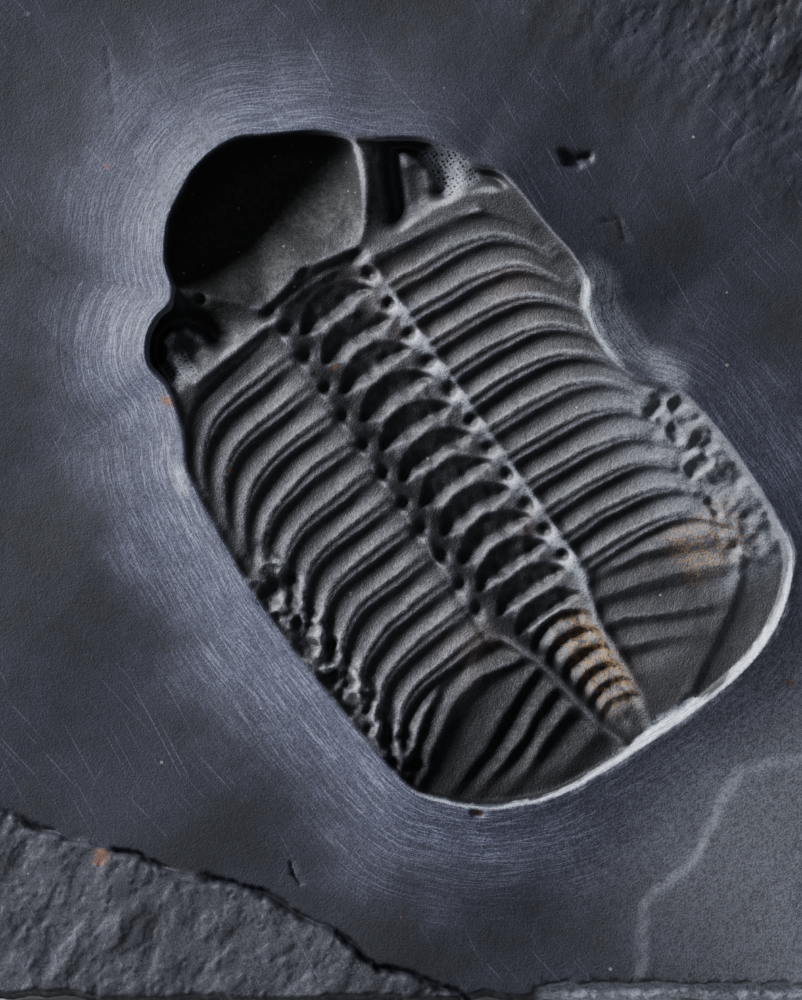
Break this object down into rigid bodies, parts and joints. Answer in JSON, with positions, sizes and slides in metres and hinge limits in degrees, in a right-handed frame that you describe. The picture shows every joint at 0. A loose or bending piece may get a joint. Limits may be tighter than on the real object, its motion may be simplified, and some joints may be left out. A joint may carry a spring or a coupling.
{
  "type": "fossil phacops trilobite",
  "caption": "Natural mould of a phacops trilobite: a hollow with ribs, axial rings, eyes and a domed head pressed into a flat-backed dark slate slab with broken edges.",
  "frame": {"origin": "centre of the slab's bounding box, on the flat back that it rests on", "axes": "+Z out of the fossil face; +Y to the top of the face as pictured, along the slab's longest side; +X to the right of the face"},
  "size_m": [0.089, 0.104, 0.014],
  "materials": {
    "dark_slate": "matte dark blue-grey slate, split and scraped"
  },
  "bodies": {
    "root": {"slate_slab_with_mould": "dark_slate"}
  },
  "joints": []
}
